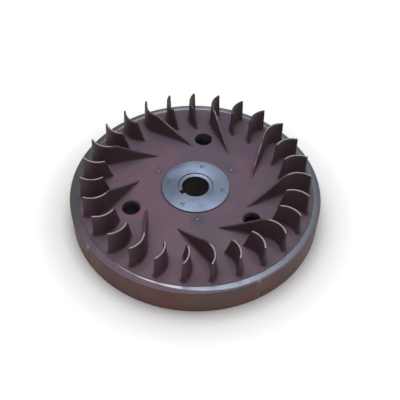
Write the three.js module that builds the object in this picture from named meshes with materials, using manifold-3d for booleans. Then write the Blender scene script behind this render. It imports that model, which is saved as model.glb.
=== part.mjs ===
// Fan flywheel of a small air-cooled engine.
//
// A cast-iron rim, web and hub carry a ring of curved cooling vanes on the front, and the
// charging alternator's magnets in the hollow behind the web. Everything here is one rotor:
// it turns with the crankshaft that the tapered bore sits on.
//
// Millimetres, +Z up. The origin is on the axis of rotation, in the plane of the rim's rear
// face, and the vanes stand towards +Z. Angles are in degrees, counter-clockwise from +X.

import * as THREE from 'three';
import { mergeVertices } from 'three/addons/utils/BufferGeometryUtils.js';
import Module from 'manifold-3d';

// ---------------------------------------------------------------- driving dimensions

// Rim
const rimRadius = 125;          // outer edge of the front face
const rimHeight = 29.4;         // rear face to that edge
const rimDraft = 0.9;           // the rear edge's radius is smaller by this
const rimWall = 18.7;           // outer edge to the hollow behind the web
const ringWidth = 7.2;          // machined ring round the front face
const ringRise = 1.6;           // its inner edge stands higher than its outer edge
const ringLip = 0.8;            // how far the wall under that edge leans inwards
const rimChamfer = 1.2;         // on the rear edges

// Timing grooves in the rim's side
const grooveAngles = [-144.4, -61];
const grooveWidth = 1.6;
const grooveDepth = 0.7;
const grooveRearEnd = 3.6;      // left uncut at the rear end
const grooveFrontEnd = 4;       // and at the front end

// Balance drillings in the rim's rear face
const drillingAngles = [38, 46, 54];
const drillingRadius = 3.5;
const drillingDepth = 7;

// Web
const webEdgeRise = 0.85;       // above the rim's front edge, where the web meets the ring
const webSlope = 0.105;         // rise towards the middle
const webThickness = 6.5;
const crownWidth = 22.8;        // level band of the web round the hub
const pipRadius = 1.6;
const pipHeight = 0.5;
const pipCircleRadius = 42.3;
const pipAngle = 33;            // of the first pip; the others follow at equal steps
const holeRadius = 8.8;
const holeAlongTail = 27.5;     // a hole lies as far out as this distance down a long vane's tail
const holeLag = 22.9;           // and this many degrees clockwise from that tail
const holeCount = 3;

// Hub
const hubRadius = 33.85;
const hubProud = 1.1;           // the face stands this far above the web
const hubRearInset = 6;         // the rear face lies this far inside the rim's rear face
const hubDraft = 2.4;           // the boss is smaller by this at its rear end
const hubChamfer = 0.8;
const boreRadius = 13.25;       // at the front, the small end
const boreTaper = 0.1;          // growth of the radius per millimetre, a 1:5 taper
const counterboreRadius = 17.4;
const counterboreDepth = 0.8;
const keywayAngle = -150;
const keywayWidth = 4.8;
const keywayDepth = 3.5;        // from the bore's wall

// Vanes
const vaneCount = 27;
const longEvery = 3;            // every third vane is a long one
const firstVaneAngle = 118.25;  // outer tip of vane_long_1
const vaneRise = 28.9;          // the tops stand this far above the rim's front edge
const tipInset = 4.3;           // outer tip to the edge of the web
const arcRadius = 19.1;         // plan curve of a vane
const arcTipAngle = 51;         // where the curve starts, seen from its own centre
const arcEndAngle = 122.8;      // where the straight tail leaves it
const tailLength = 46;          // the straight inner part of a long vane
const levelTail = 4.8;          // it keeps its full height this far
const stubLength = 7.2;         // the straight inner end of a short vane
const topThickness = 2;
const vaneDraft = 0.075;        // growth of the thickness per millimetre of height
const vaneEndHeight = 1.2;      // what is left of the height at the inner end

// Alternator magnets
const magnetCount = 12;
const magnetThickness = 5;
const magnetSideGap = 2;        // between neighbours, along the circle
const carrierThickness = 4;
const carrierRearInset = 3;     // to the rim's rear face
const carrierFrontInset = 1.4;  // to the web
const carrierShoulder = 1.5;    // the carrier is longer than the magnets by this at each end
const keeperThickness = 0.8;

// Clearances
const ringGap = 0.1;            // between coaxial pieces that fit in each other
const seatGap = 0.3;            // under a vane's foot, and round a magnet

// Facets
const roundSegments = 96;
const drillSegments = 24;
const arcSteps = 8;
const tailSteps = 4;

// ---------------------------------------------------------------- sizes worked out from them

const degrees = Math.PI / 180;

const rimRearRadius = rimRadius - rimDraft;
const cavityRadius = rimRadius - rimWall;
const ringInnerRadius = rimRadius - ringWidth;
const webSeatRadius = ringInnerRadius - ringLip;
const webRadius = webSeatRadius - ringGap;
const webEdgeTop = rimHeight + webEdgeRise;
const crownRadius = hubRadius + crownWidth;
const crownTop = webEdgeTop + (webRadius - crownRadius) * webSlope;
const ledgeHeight = webTopAt(cavityRadius) - webThickness;

const hubFace = crownTop + hubProud;
const hubRearRadius = hubRadius - hubDraft;
const boreRearRadius = boreRadius + (hubFace - hubRearInset) * boreTaper;

const tipRadius = webRadius - tipInset;
const vaneTop = rimHeight + vaneRise;
const vanePitch = 360 / vaneCount;

const carrierHeight = ledgeHeight - carrierRearInset - carrierFrontInset;
const magnetHeight = carrierHeight - 2 * carrierShoulder;
const carrierOuterRadius = cavityRadius - ringGap;
const carrierInnerRadius = carrierOuterRadius - carrierThickness;
const magnetOuterRadius = carrierInnerRadius - seatGap;
const magnetInnerRadius = magnetOuterRadius - magnetThickness;
const keeperOuterRadius = magnetInnerRadius - seatGap;
const keeperInnerRadius = keeperOuterRadius - keeperThickness;

// Height of the web's front surface: a level crown round the hub, then a shallow cone.
function webTopAt(radius) {
  return crownTop - Math.max(0, radius - crownRadius) * webSlope;
}

// ---------------------------------------------------------------- plan of the vanes and holes

// A vane's plan line, with its outer tip on the X axis: the curve, then the straight part.
const arcCentre = {
  x: tipRadius - arcRadius * Math.cos(arcTipAngle * degrees),
  y: -arcRadius * Math.sin(arcTipAngle * degrees),
};
const arcEnd = arcPoint(arcEndAngle);
const tailHeading = (arcEndAngle + 90) * degrees;

function arcPoint(angle) {
  return {
    x: arcCentre.x + arcRadius * Math.cos(angle * degrees),
    y: arcCentre.y + arcRadius * Math.sin(angle * degrees),
    heading: (angle + 90) * degrees,
  };
}

function tailPoint(distance) {
  return {
    x: arcEnd.x + distance * Math.cos(tailHeading),
    y: arcEnd.y + distance * Math.sin(tailHeading),
    heading: tailHeading,
  };
}

// The through holes keep their distance from the long vanes' tails, so they are placed by them.
const besideTail = tailPoint(holeAlongTail);
const holeCircleRadius = Math.hypot(besideTail.x, besideTail.y);
const firstHoleAngle = firstVaneAngle + Math.atan2(besideTail.y, besideTail.x) / degrees - holeLag;

// ---------------------------------------------------------------- solids

const manifold = await Module();
manifold.setup();

// Merges a geometry's shared vertices, so that it is one closed mesh.
function closedGeometry(geometry) {
  geometry.deleteAttribute('normal');
  geometry.deleteAttribute('uv');
  return mergeVertices(geometry, 1e-4);
}

function toSolid(geometry, place = new THREE.Matrix4()) {
  const closed = closedGeometry(geometry.clone().applyMatrix4(place));
  return new manifold.Manifold(new manifold.Mesh({
    numProp: 3,
    vertProperties: new Float32Array(closed.attributes.position.array),
    triVerts: new Uint32Array(closed.index.array),
  }));
}

function fromSolid(solid) {
  const mesh = solid.getMesh();
  const geometry = new THREE.BufferGeometry();
  geometry.setAttribute('position', new THREE.BufferAttribute(mesh.vertProperties, 3));
  geometry.setIndex(new THREE.BufferAttribute(mesh.triVerts, 1));
  return geometry;
}

// Turns a closed outline of [radius, height] points about the Z axis.
// The outline runs counter-clockwise, seen with the radius to the right and the height up.
function turned(outline, segments = roundSegments) {
  const points = [...outline, outline[0]].map(([radius, height]) => new THREE.Vector2(radius, height));
  return closedGeometry(new THREE.LatheGeometry(points, segments).rotateX(Math.PI / 2));
}

// A round bar along Z, standing on z = 0.
function bar(radius, height, segments = drillSegments) {
  const geometry = new THREE.CylinderGeometry(radius, radius, height, segments);
  return geometry.rotateX(Math.PI / 2).translate(0, 0, height / 2);
}

// Moves something to a radius and angle on the part, turned to face outwards.
function polarPlace(radius, angle, height) {
  const turn = new THREE.Matrix4().makeRotationZ(angle * degrees);
  return turn.multiply(new THREE.Matrix4().makeTranslation(radius, 0, height));
}

// ---------------------------------------------------------------- rim, web and hub

function rimGeometry() {
  let solid = toSolid(turned([
    [rimRearRadius - rimChamfer, 0],
    [rimRearRadius, rimChamfer],
    [rimRadius, rimHeight],
    [ringInnerRadius, rimHeight + ringRise],
    [webSeatRadius, webEdgeTop],
    [webSeatRadius, ledgeHeight - ringGap],
    [cavityRadius, ledgeHeight - ringGap],
    [cavityRadius, rimChamfer],
    [cavityRadius + rimChamfer, 0],
  ]));

  const grooveLength = rimHeight - grooveRearEnd - grooveFrontEnd;
  const groove = new THREE.BoxGeometry(2 * (grooveDepth + rimDraft), grooveWidth, grooveLength);
  for (const angle of grooveAngles) {
    const place = polarPlace(rimRadius, angle, grooveRearEnd + grooveLength / 2);
    solid = solid.subtract(toSolid(groove, place));
  }

  const drillingCircle = (rimRearRadius + cavityRadius) / 2;
  const drilling = bar(drillingRadius, 2 * drillingDepth);
  for (const angle of drillingAngles) {
    solid = solid.subtract(toSolid(drilling, polarPlace(drillingCircle, angle, -drillingDepth)));
  }
  return fromSolid(solid);
}

function webGeometry() {
  const innerRadius = hubRadius + ringGap;
  let solid = toSolid(turned([
    [innerRadius, crownTop - webThickness],
    [crownRadius, crownTop - webThickness],
    [cavityRadius, ledgeHeight],
    [webRadius, ledgeHeight],
    [webRadius, webEdgeTop],
    [crownRadius, crownTop],
    [innerRadius, crownTop],
  ]));

  const pip = bar(pipRadius, 2 * pipHeight);
  const hole = bar(holeRadius, 4 * webThickness, 2 * drillSegments);
  for (let i = 0; i < holeCount; i++) {
    const step = i * 360 / holeCount;
    solid = solid.add(toSolid(pip, polarPlace(pipCircleRadius, pipAngle + step, crownTop - pipHeight)));
    const place = polarPlace(holeCircleRadius, firstHoleAngle + step, crownTop - 3 * webThickness);
    solid = solid.subtract(toSolid(hole, place));
  }
  return fromSolid(solid);
}

function hubGeometry() {
  const counterboreFloor = hubFace - counterboreDepth;
  const boss = toSolid(turned([
    [boreRearRadius, hubRearInset],
    [hubRearRadius - hubChamfer, hubRearInset],
    [hubRearRadius, hubRearInset + hubChamfer],
    [hubRadius, crownTop - webThickness],
    [hubRadius, hubFace - hubChamfer],
    [hubRadius - hubChamfer, hubFace],
    [counterboreRadius, hubFace],
    [counterboreRadius, counterboreFloor],
    [boreRadius + counterboreDepth * boreTaper, counterboreFloor],
  ]));

  const overrun = 1;
  const slot = new THREE.Shape([
    new THREE.Vector2(0, hubRearInset - overrun),
    new THREE.Vector2(boreRearRadius + keywayDepth, hubRearInset - overrun),
    new THREE.Vector2(boreRadius + keywayDepth, hubFace + overrun),
    new THREE.Vector2(0, hubFace + overrun),
  ]);
  const keyway = new THREE.ExtrudeGeometry(slot, { depth: keywayWidth, bevelEnabled: false });
  keyway.rotateX(Math.PI / 2).translate(0, keywayWidth / 2, 0);
  return fromSolid(boss.subtract(toSolid(keyway, polarPlace(0, keywayAngle, 0))));
}

// ---------------------------------------------------------------- vanes

// Stations along a vane, each with its place, heading and share of the full height.
function vaneStations(isLong) {
  const stations = [];
  for (let i = 0; i <= arcSteps; i++) {
    const angle = THREE.MathUtils.lerp(arcTipAngle, arcEndAngle, i / arcSteps);
    stations.push({ ...arcPoint(angle), share: 1 });
  }
  const level = isLong ? levelTail : 0;
  const end = isLong ? tailLength : stubLength;
  if (isLong) stations.push({ ...tailPoint(level), share: 1 });
  for (let i = 1; i <= tailSteps; i++) {
    stations.push({ ...tailPoint(level + (end - level) * i / tailSteps), share: 1 - i / tailSteps });
  }
  return stations;
}

// A vane is a row of four-cornered sections: two corners on the web and two on top.
function vaneGeometry(isLong) {
  const corners = [];
  for (const { x, y, heading, share } of vaneStations(isLong)) {
    const foot = webTopAt(Math.hypot(x, y)) + seatGap;
    const top = THREE.MathUtils.lerp(foot + vaneEndHeight, vaneTop, share);
    const topHalf = topThickness / 2;
    const footHalf = topHalf + (top - foot) * vaneDraft / 2;
    const side = { x: -Math.sin(heading), y: Math.cos(heading) };
    for (const [offset, height] of [[-footHalf, null], [footHalf, null], [topHalf, top], [-topHalf, top]]) {
      const cornerX = x + side.x * offset;
      const cornerY = y + side.y * offset;
      const onWeb = webTopAt(Math.hypot(cornerX, cornerY)) + seatGap;
      corners.push(cornerX, cornerY, height ?? onWeb);
    }
  }

  const last = corners.length / 3 - 4;
  const triangles = [[0, 2, 1], [0, 3, 2]];
  triangles.push([last, last + 1, last + 2], [last, last + 2, last + 3]);
  for (let start = 0; start < last; start += 4) {
    for (let k = 0; k < 4; k++) {
      const a = start + k;
      const b = start + (k + 1) % 4;
      triangles.push([a, b + 4, a + 4], [a, b, b + 4]);
    }
  }

  const geometry = new THREE.BufferGeometry();
  geometry.setAttribute('position', new THREE.Float32BufferAttribute(corners, 3));
  geometry.setIndex(triangles.flat());
  return geometry;
}

// ---------------------------------------------------------------- alternator magnets

function sleeveGeometry(innerRadius, outerRadius, bottom, top) {
  return turned([[innerRadius, bottom], [outerRadius, bottom], [outerRadius, top], [innerRadius, top]]);
}

function magnetGeometry() {
  const half = Math.PI / magnetCount - magnetSideGap / 2 / magnetOuterRadius;
  const outline = new THREE.Shape();
  outline.absarc(0, 0, magnetOuterRadius, -half, half, false);
  outline.absarc(0, 0, magnetInnerRadius, half, -half, true);
  outline.closePath();
  const options = { depth: magnetHeight, bevelEnabled: false, curveSegments: arcSteps };
  return closedGeometry(new THREE.ExtrudeGeometry(outline, options));
}

// ---------------------------------------------------------------- assembly

const finishes = {
  paint: { color: 0x6a5560, roughness: 0.6, metalness: 0.0 },
  vanePaint: { color: 0x4e3d43, roughness: 0.65, metalness: 0.0 },
  rimPaint: { color: 0x64504f, roughness: 0.6, metalness: 0.0 },
  machined: { color: 0x8a97a8, roughness: 0.4, metalness: 0.85 },
  steel: { color: 0x7a7c80, roughness: 0.45, metalness: 0.9 },
  ferrite: { color: 0x2c2c30, roughness: 0.55, metalness: 0.2 },
  stainless: { color: 0xa9abae, roughness: 0.3, metalness: 0.95 },
};

function named(name, geometry, finish) {
  const mesh = new THREE.Mesh(geometry, new THREE.MeshStandardMaterial(finishes[finish]));
  mesh.name = name;
  return mesh;
}

const flywheel = new THREE.Group();

const casting = new THREE.Group();
casting.add(named('rim', rimGeometry(), 'rimPaint'));
casting.add(named('web', webGeometry(), 'paint'));
casting.add(named('hub', hubGeometry(), 'machined'));
flywheel.add(casting);

const fan = new THREE.Group();
let longMade = 0;
for (let i = 0; i < vaneCount; i++) {
  const isLong = i % longEvery === 0;
  if (isLong) longMade += 1;
  const name = isLong ? `vane_long_${longMade}` : `vane_short_${i + 1 - longMade}`;
  const vane = named(name, vaneGeometry(isLong), 'vanePaint');
  vane.rotation.z = (firstVaneAngle - i * vanePitch) * degrees;
  fan.add(vane);
}
flywheel.add(fan);

const alternator = new THREE.Group();
alternator.position.z = carrierRearInset;
alternator.add(named('magnet_carrier',
  sleeveGeometry(carrierInnerRadius, carrierOuterRadius, 0, carrierHeight), 'steel'));
alternator.add(named('magnet_keeper',
  sleeveGeometry(keeperInnerRadius, keeperOuterRadius, 0, carrierHeight), 'stainless'));
for (let i = 0; i < magnetCount; i++) {
  const magnet = named(`magnet_${i + 1}`, magnetGeometry(), 'ferrite');
  magnet.position.z = carrierShoulder;
  magnet.rotation.z = i * 2 * Math.PI / magnetCount;
  alternator.add(magnet);
}
flywheel.add(alternator);

export default flywheel;
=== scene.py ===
"""Fan flywheel of a small engine: a painted iron casting with curved cooling vanes, bare turned
faces on the rim and hub, and the charging magnets in the hollow behind.

Metres, +Z along the axis of rotation towards the vanes, rear face of the rim on the floor.
"""

import math

import bmesh
import bpy
from mathutils import Matrix, Vector


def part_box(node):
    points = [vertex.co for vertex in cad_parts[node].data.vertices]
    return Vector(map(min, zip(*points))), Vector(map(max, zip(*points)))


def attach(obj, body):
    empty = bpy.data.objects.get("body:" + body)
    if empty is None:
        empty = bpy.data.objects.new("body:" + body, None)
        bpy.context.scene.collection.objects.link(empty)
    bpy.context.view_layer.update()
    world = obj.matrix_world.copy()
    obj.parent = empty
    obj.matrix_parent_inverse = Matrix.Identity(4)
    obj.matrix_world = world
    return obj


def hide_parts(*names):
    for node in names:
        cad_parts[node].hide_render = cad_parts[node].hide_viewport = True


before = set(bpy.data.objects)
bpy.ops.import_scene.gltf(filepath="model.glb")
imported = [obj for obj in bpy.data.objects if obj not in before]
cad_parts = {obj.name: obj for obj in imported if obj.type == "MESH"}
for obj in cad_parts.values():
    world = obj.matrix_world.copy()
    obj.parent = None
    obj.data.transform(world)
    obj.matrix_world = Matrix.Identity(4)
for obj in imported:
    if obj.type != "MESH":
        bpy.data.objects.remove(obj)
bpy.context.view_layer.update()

MM = 0.001
BODY = "root"
WELD_REACH = 0.00002 * MM       # points closer than this are joined after a cut

# ------------------------------------------------------------------ sizes taken from the frame

RIM_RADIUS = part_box("rim")[1].x
RIM_LIP_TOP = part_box("rim")[1].z
WEB_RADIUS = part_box("web")[1].x
HUB_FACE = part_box("hub")[1].z
HUB_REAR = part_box("hub")[0].z
HUB_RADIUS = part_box("hub")[1].x
VANE_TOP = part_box("vane_short_1")[1].z
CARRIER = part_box("magnet_carrier")
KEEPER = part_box("magnet_keeper")
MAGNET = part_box("magnet_1")

# ------------------------------------------------------------------ sizes the frame doesn't state

# Rim
RING_RISE = 1.6 * MM            # the turned ring's inner edge over its outer edge
RING_WIDTH = 7.2 * MM
RING_LAND = 3.4 * MM            # nearly level inner part of the ring, inside its bevel
RING_LAND_DROP = 0.35 * MM
RIM_EDGE = RIM_LIP_TOP - RING_RISE
RIM_DRAFT = 0.9 * MM
RIM_WALL = 18.7 * MM
CAVITY_RADIUS = RIM_RADIUS - RIM_WALL
LIP_LEAN = 0.8 * MM
REAR_CHAMFER = 1.2 * MM
GROOVE_ANGLES = (-144.4, -61.0)
GROOVE_WIDTH = 1.6 * MM
GROOVE_DEPTH = 0.7 * MM
GROOVE_ENDS = (3.6 * MM, 4.0 * MM)
DRILLING_ANGLES = (38, 46, 54)
DRILLING_RADIUS = 3.5 * MM
DRILLING_DEPTH = 7 * MM

# Web
WEB_EDGE_TOP = RIM_EDGE + 0.85 * MM
WEB_CURL = 0.62 * MM            # the cast surface rises to the ring by this
WEB_CURL_WIDTH = 2.2 * MM
WEB_CURL_REACH = 0.7 * MM       # it runs on this far under the ring's lip
WEB_SLOPE = 0.105
WEB_THICKNESS = 6.5 * MM
CROWN_RADIUS = HUB_RADIUS + 22.8 * MM
CROWN_BLEND = 4 * MM
CROWN_TOP = WEB_EDGE_TOP + (WEB_RADIUS - CROWN_RADIUS) * WEB_SLOPE
HOLE_RADIUS = 8.8 * MM
HOLE_COUNT = 3
HOLE_FLARE = 0.6 * MM
HOLE_ALONG_TAIL = 27.5 * MM
HOLE_LAG = 22.9
PIP_RADIUS = 1.6 * MM
PIP_HEIGHT = 0.5 * MM
PIP_CIRCLE = 42.3 * MM
PIP_ANGLE = 33

# Hub
BORE_RADIUS = 13.25 * MM
BORE_TAPER = 0.1
COUNTERBORE_RADIUS = 17.4 * MM
COUNTERBORE_DEPTH = 0.8 * MM
HUB_DRAFT = 2.4 * MM
KEYWAY_ANGLE = -150
KEYWAY_WIDTH = 4.8 * MM
KEYWAY_DEPTH = 3.5 * MM
PUNCH_CIRCLE = 27 * MM
PUNCH_ANGLES = (77, 169.5, -117, -11)
PUNCH_RADIUS = 1.0 * MM
PUNCH_SPREAD = 1.6 * MM
SCRIBE_SIZE = (3.5 * MM, 0.5 * MM, 0.1 * MM)
SCRIBE_ANGLE = 90

# Vanes
VANE_COUNT = 27
LONG_EVERY = 3
FIRST_VANE_ANGLE = 118.25
TIP_RADIUS = WEB_RADIUS - 4.3 * MM
ARC_RADIUS = 19.1 * MM
ARC_TIP_ANGLE = 51
ARC_END_ANGLE = 122.8
TAIL_LENGTH = 46 * MM
LEVEL_TAIL = 4.8 * MM
STUB_LENGTH = 7.2 * MM
TOP_THICKNESS = 2.0 * MM
RUN_OUT = 0.3 * MM              # what is left of a long vane's height at its inner end
VANE_DRAFT = 0.075
ROOT_FILLET = 2.8 * MM
ROOT_LEVELS = 7                 # rings up the fillet over which the web's paint gives way to the vanes' darker paint, which is painted shade
EDGE_ROUND = 0.6 * MM
END_ROUND = 0.7 * MM
SKIRT = 0.3 * MM                # the vane's foot goes this far into the web
LONG_EDGE_FADE = 0.3            # how much of the top edge's pale wear and painted highlight is gone where the vane runs out
SHORT_EDGE_FADE = 8.0

# Magnets
CARRIER_THICKNESS = 4 * MM
KEEPER_THICKNESS = 0.8 * MM
MAGNET_COUNT = 12
MAGNET_SIDE_GAP = 2 * MM
MAGNET_THICKNESS = 5 * MM


def web_top(radius):
    """Height of the web's front surface: a level crown that runs smoothly into a shallow cone."""
    past = radius - CROWN_RADIUS
    return CROWN_TOP - WEB_SLOPE * (past + math.hypot(past, CROWN_BLEND)) / 2


# ------------------------------------------------------------------ mesh tools


def make_piece(name, vertices, faces, crease=32):
    """A mesh object with smooth faces, and sharp edges where it turns by more than crease degrees."""
    mesh = bpy.data.meshes.new(name)
    mesh.from_pydata(vertices, [], faces)
    piece = bpy.data.objects.new(name, mesh)
    bpy.context.scene.collection.objects.link(piece)
    shade(piece, crease)
    return piece


def shade(piece, crease=32):
    piece.data.polygons.foreach_set("use_smooth", [True] * len(piece.data.polygons))
    piece.data.set_sharp_from_angle(angle=math.radians(crease))
    piece.data.update()


def softened(outline, steps=4):
    """Replaces each corner (radius, height, rounding) of a closed outline by a small curve."""
    points = []
    for i, (r, z, rounding) in enumerate(outline):
        corner = Vector((r, z))
        before = Vector(outline[i - 1][:2])
        after = Vector(outline[(i + 1) % len(outline)][:2])
        if rounding == 0:
            points.append(corner)
            continue
        start = corner + (before - corner).normalized() * min(rounding, 0.45 * (before - corner).length)
        end = corner + (after - corner).normalized() * min(rounding, 0.45 * (after - corner).length)
        for k in range(steps + 1):
            t = k / steps
            points.append(start.lerp(corner, t).lerp(corner.lerp(end, t), t))
    return points


def turned(name, outline, segments=360, crease=32):
    """Turns a closed outline of (radius, height) points, counter-clockwise, about the Z axis."""
    vertices, faces = [], []
    count = len(outline)
    for j in range(segments):
        angle = 2 * math.pi * j / segments
        cos, sin = math.cos(angle), math.sin(angle)
        vertices += [(r * cos, r * sin, z) for r, z in outline]
    for j in range(segments):
        a, b = j * count, (j + 1) % segments * count
        for i in range(count):
            k = (i + 1) % count
            faces.append((a + i, b + i, b + k, a + k))
    return make_piece(name, vertices, faces, crease)


def spun(name, outline, segments=48):
    """Turns an open outline that starts and ends on the axis, from the bottom up, about Z."""
    bottom, top = outline[0], outline[-1]
    ring = outline[1:-1]
    vertices = [(0, 0, bottom[1])]
    for r, z in ring:
        for j in range(segments):
            angle = 2 * math.pi * j / segments
            vertices.append((r * math.cos(angle), r * math.sin(angle), z))
    vertices.append((0, 0, top[1]))
    last = len(vertices) - 1
    faces = []
    for j in range(segments):
        k = (j + 1) % segments
        faces.append((0, 1 + k, 1 + j))
        for i in range(len(ring) - 1):
            low, high = 1 + i * segments, 1 + (i + 1) * segments
            faces.append((low + j, low + k, high + k, high + j))
        high = 1 + (len(ring) - 1) * segments
        faces.append((high + j, high + k, last))
    return make_piece(name, vertices, faces)


def prism(name, outline, bottom, top):
    """A straight prism over a counter-clockwise outline of (x, y) points."""
    count = len(outline)
    vertices = [(x, y, bottom) for x, y in outline] + [(x, y, top) for x, y in outline]
    faces = [tuple(reversed(range(count))), tuple(range(count, 2 * count))]
    for i in range(count):
        k = (i + 1) % count
        faces.append((i, k, k + count, i + count))
    return make_piece(name, vertices, faces)


def place(piece, matrix):
    piece.data.transform(matrix)
    return piece


def polar(radius, angle, height=0.0):
    """The place at a radius and angle (degrees), turned to face outwards."""
    return Matrix.Rotation(math.radians(angle), 4, "Z") @ Matrix.Translation((radius, 0, height))


def applied(piece):
    """Applies the piece's modifiers."""
    graph = bpy.context.evaluated_depsgraph_get()
    mesh = bpy.data.meshes.new_from_object(piece.evaluated_get(graph), depsgraph=graph)
    piece.modifiers.clear()
    piece.data = mesh
    return piece


def combine(piece, tools, operation):
    """Cuts tools from a piece or adds them to it. New faces keep the tools' own materials."""
    for tool in tools:
        step = piece.modifiers.new(operation.lower(), "BOOLEAN")
        step.operation = operation
        step.solver = "EXACT"
        step.material_mode = "TRANSFER"
        step.object = tool
    applied(piece)
    for tool in tools:
        bpy.data.objects.remove(tool)
    weld(piece.data)
    shade(piece)
    return piece


def weld(mesh):
    """Joins the doubled points that a cut can leave where its edge crosses another."""
    shape = bmesh.new()
    shape.from_mesh(mesh)
    bmesh.ops.remove_doubles(shape, verts=shape.verts, dist=WELD_REACH)
    shape.to_mesh(mesh)
    shape.free()


# ------------------------------------------------------------------ shader tools


class Tree:
    """Adds nodes to a node tree in a line or two each."""

    def __init__(self, tree):
        self.tree = tree

    def add(self, kind, settings=None, **inputs):
        node = self.tree.nodes.new(kind)
        for key, value in (settings or {}).items():
            setattr(node, key, value)
        for key, value in inputs.items():
            self.feed(node.inputs[key.replace("_", " ")], value)
        return node

    def feed(self, socket, value):
        if isinstance(value, bpy.types.NodeSocket):
            self.tree.links.new(value, socket)
        else:
            socket.default_value = value

    def math(self, operation, *values, clamp=False):
        node = self.tree.nodes.new("ShaderNodeMath")
        node.operation = operation
        node.use_clamp = clamp
        for socket, value in zip(node.inputs, values):
            self.feed(socket, value)
        return node.outputs[0]

    def band(self, value, low, high, to_low=0.0, to_high=1.0):
        """Smooth step of a value from low to high."""
        node = self.tree.nodes.new("ShaderNodeMapRange")
        node.interpolation_type = "SMOOTHSTEP"
        for socket, number in zip(node.inputs, (value, low, high, to_low, to_high)):
            self.feed(socket, number)
        return node.outputs[0]

    def mix(self, factor, first, second, blend="MIX"):
        """Mixes two colours."""
        node = self.tree.nodes.new("ShaderNodeMix")
        node.data_type = "RGBA"
        node.blend_type = blend
        for index, value in ((0, factor), (6, first), (7, second)):
            self.feed(node.inputs[index], value)
        return node.outputs[2]

    def blend(self, factor, first, second):
        """Mixes two numbers."""
        node = self.tree.nodes.new("ShaderNodeMix")
        for index, value in ((0, factor), (2, first), (3, second)):
            self.feed(node.inputs[index], value)
        return node.outputs[0]

    def group(self, group, **inputs):
        node = self.tree.nodes.new("ShaderNodeGroup")
        node.node_tree = group
        for key, value in inputs.items():
            self.feed(node.inputs[key.replace("_", " ")], value)
        return node


def shader_group(name, inputs, outputs):
    """An empty shader group. Returns it with its Tree, its input sockets and its output node."""
    group = bpy.data.node_groups.new(name, "ShaderNodeTree")
    kinds = {"value": "NodeSocketFloat", "colour": "NodeSocketColor", "vector": "NodeSocketVector"}
    for label, (kind, default) in inputs.items():
        socket = group.interface.new_socket(label, in_out="INPUT", socket_type=kinds[kind])
        if default is not None:
            socket.default_value = default
    for label, kind in outputs.items():
        group.interface.new_socket(label, in_out="OUTPUT", socket_type=kinds[kind])
    tree = Tree(group)
    start = group.nodes.new("NodeGroupInput")
    end = group.nodes.new("NodeGroupOutput")
    return group, tree, start.outputs, end.inputs


def cast_skin_group():
    """Height of a sand-cast, brush-painted surface: shallow swells, fine grain and a few pits."""
    group, tree, given, out = shader_group(
        "cast_skin",
        {"Vector": ("vector", None), "Grain": ("value", 900.0), "Pits": ("value", 0.3)},
        {"Height": "value", "Pit mask": "value"})
    swell = tree.add("ShaderNodeTexNoise", Vector=given["Vector"], Scale=60.0, Detail=2.0)
    grain = tree.add("ShaderNodeTexNoise", Vector=given["Vector"], Scale=given["Grain"], Detail=4.0,
                     Roughness=0.6)
    cells = tree.add("ShaderNodeTexVoronoi", Vector=given["Vector"], Scale=210.0)
    pit = tree.band(cells.outputs["Distance"], 0.05, 0.22, 1.0, 0.0)
    rare = tree.add("ShaderNodeTexNoise", Vector=given["Vector"], Scale=45.0, Detail=1.0)
    pit = tree.math("MULTIPLY", pit, tree.band(rare.outputs["Fac"], 0.55, 0.7))
    pit = tree.math("MULTIPLY", pit, given["Pits"])
    height = tree.math("ADD", tree.math("MULTIPLY", swell.outputs["Fac"], 0.9),
                       tree.math("MULTIPLY", grain.outputs["Fac"], 0.35))
    tree.feed(out["Height"], tree.math("SUBTRACT", height, pit))
    tree.feed(out["Pit mask"], pit)
    return group


def colour_drift_group():
    """Two tones of one paint that drift into each other over the surface, with fine mottling.

    Lean is a direction in which the second tone gains on the first; with a darker second tone this paints
    shade on one side.
    """
    group, tree, given, out = shader_group(
        "colour_drift",
        {"Vector": ("vector", None), "Tone": ("colour", None), "Second tone": ("colour", None),
         "Scale": ("value", 18.0), "Mottle": ("value", 0.15), "Lean": ("vector", None)},
        {"Color": "colour"})
    broad = tree.add("ShaderNodeTexNoise", Vector=given["Vector"], Scale=given["Scale"], Detail=3.0,
                     Roughness=0.55, Distortion=0.4)
    lean = tree.add("ShaderNodeVectorMath", {"operation": "DOT_PRODUCT"})
    tree.feed(lean.inputs[0], given["Vector"])
    tree.feed(lean.inputs[1], given["Lean"])
    share = tree.math("ADD", broad.outputs["Fac"], lean.outputs["Value"])
    tone = tree.mix(tree.band(share, 0.38, 0.62), given["Tone"], given["Second tone"])
    fine = tree.add("ShaderNodeTexNoise", Vector=given["Vector"], Scale=260.0, Detail=5.0, Roughness=0.7)
    shadeway = tree.math("MULTIPLY", tree.math("SUBTRACT", fine.outputs["Fac"], 0.5), given["Mottle"])
    grey = tree.math("ADD", 1.0, tree.math("MULTIPLY", shadeway, 2.0))
    tint = tree.add("ShaderNodeCombineColor", Red=grey, Green=grey, Blue=grey)
    tree.feed(out["Color"], tree.mix(1.0, tone, tint.outputs[0], "MULTIPLY"))
    return group


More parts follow.
